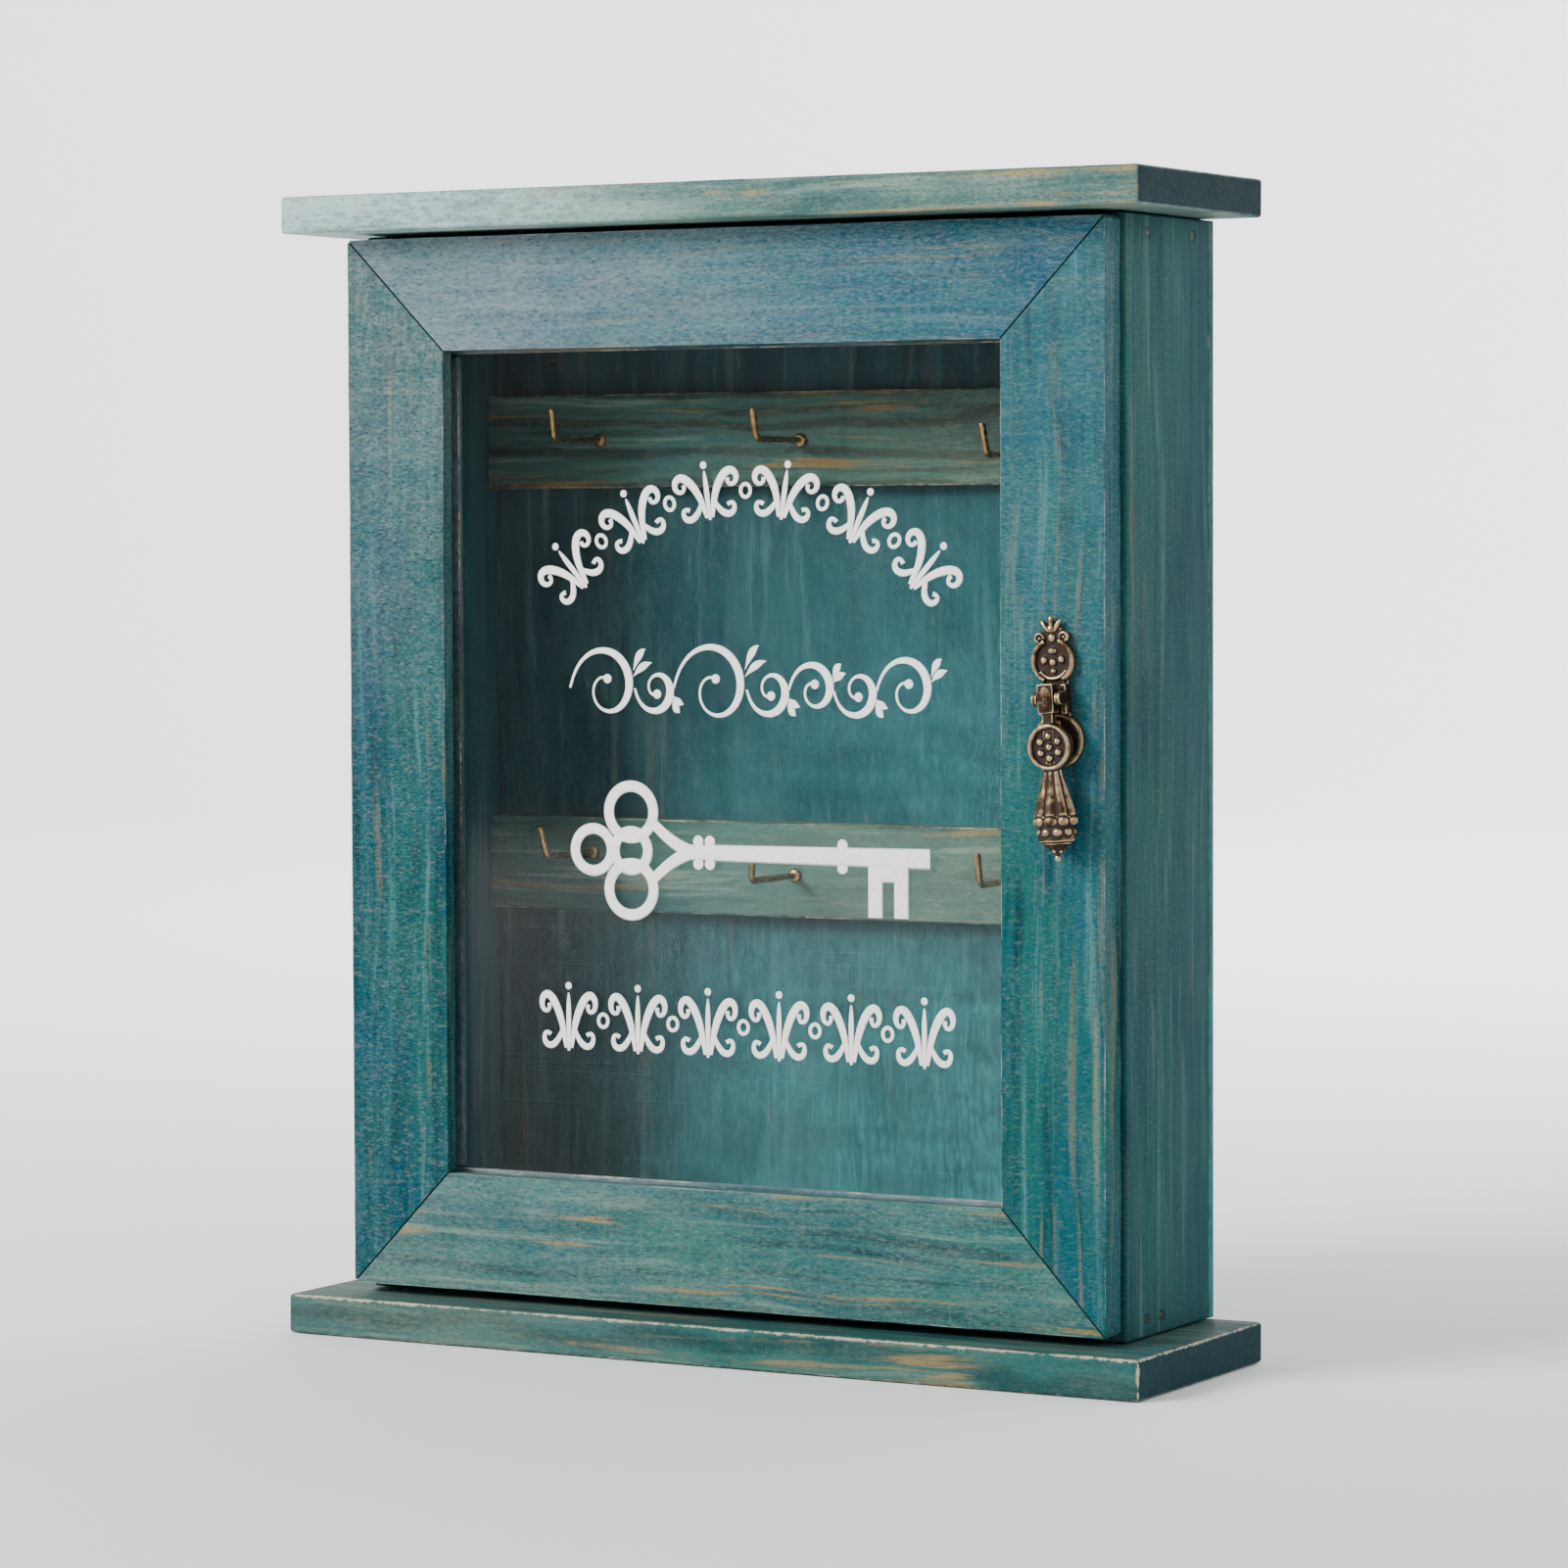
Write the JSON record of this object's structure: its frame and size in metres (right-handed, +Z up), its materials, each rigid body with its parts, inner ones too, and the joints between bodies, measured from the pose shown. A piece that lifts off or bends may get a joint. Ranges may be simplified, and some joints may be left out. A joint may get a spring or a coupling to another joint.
{
  "type": "key cabinet",
  "caption": "Small wooden key cabinet with overhanging top and base boards, a glazed mitred door on butt hinges, a pendant pull and square-bend hooks on two rails.",
  "frame": {"origin": "middle of the base board's underside", "axes": "+Z up, the door faces -Y, +X to the right of someone facing the door"},
  "size_m": [0.2492, 0.073, 0.3],
  "materials": {
    "stained_wood": "distressed teal stain with worn pale arrises",
    "pane_glass": "clear sheet glass with a white printed ornament",
    "hook_brass": "bright drawn wire",
    "aged_brass": "antique casting with dark recesses and rubbed highlights",
    "steel": "zinc plated"
  },
  "bodies": {
    "carcass": {"back_panel": "stained_wood", "base_board": "stained_wood", "catch_magnet": "steel", "cornice_board": "stained_wood", "hanger_nail_left_bottom": "steel", "hanger_nail_left_top": "steel", "hanger_nail_right_bottom": "steel", "hanger_nail_right_top": "steel", "hanger_plate_left": "steel", "hanger_plate_right": "steel", "hinge_leaf_fixed_lower": "aged_brass", "hinge_leaf_fixed_upper": "aged_brass", "hinge_pin_lower": "aged_brass", "hinge_pin_upper": "aged_brass", "hinge_screw_fixed_lower_bottom": "aged_brass", "hinge_screw_fixed_lower_top": "aged_brass", "hinge_screw_fixed_upper_bottom": "aged_brass", "hinge_screw_fixed_upper_top": "aged_brass", "hook_rail_lower": "stained_wood", "hook_rail_upper": "stained_wood", "inner_bottom_board": "stained_wood", "inner_top_board": "stained_wood", "key_hook_1": "hook_brass", "key_hook_2": "hook_brass", "key_hook_3": "hook_brass", "key_hook_4": "hook_brass", "key_hook_5": "hook_brass", "key_hook_6": "hook_brass", "side_nail_left_bottom_back": "steel", "side_nail_left_bottom_front": "steel", "side_nail_left_top_back": "steel", "side_nail_left_top_front": "steel", "side_nail_right_bottom_back": "steel", "side_nail_right_bottom_front": "steel", "side_nail_right_top_back": "steel", "side_nail_right_top_front": "steel", "side_panel_left": "stained_wood", "side_panel_right": "stained_wood"},
    "door": {"catch_strike": "steel", "catch_strike_nail": "steel", "door_rail_bottom": "stained_wood", "door_rail_top": "stained_wood", "door_stile_left": "stained_wood", "door_stile_right": "stained_wood", "glass_bead_bottom": "stained_wood", "glass_bead_left": "stained_wood", "glass_bead_right": "stained_wood", "glass_bead_top": "stained_wood", "glass_pane": "pane_glass", "hinge_leaf_door_lower": "aged_brass", "hinge_leaf_door_upper": "aged_brass", "hinge_screw_door_lower_bottom": "aged_brass", "hinge_screw_door_lower_top": "aged_brass", "hinge_screw_door_upper_bottom": "aged_brass", "hinge_screw_door_upper_top": "aged_brass", "pull_backplate": "aged_brass", "pull_nail_lower": "aged_brass", "pull_nail_upper": "aged_brass", "pull_pivot_pin": "aged_brass"},
    "drop": {"pull_drop": "aged_brass"}
  },
  "joints": [
    {"name": "door_hinge", "type": "hinge", "parent": "carcass", "child": "door", "pos_m": [-0.1134, -0.01575, 0.149], "axis": [0, 0, -1], "range_deg": [0, 175]},
    {"name": "pull_swing", "type": "hinge", "parent": "door", "child": "drop", "pos_m": [0.0974, -0.0307, 0.1706], "axis": [-0.9976, 0, -0.0698], "range_deg": [-2.5, 85]}
  ]
}
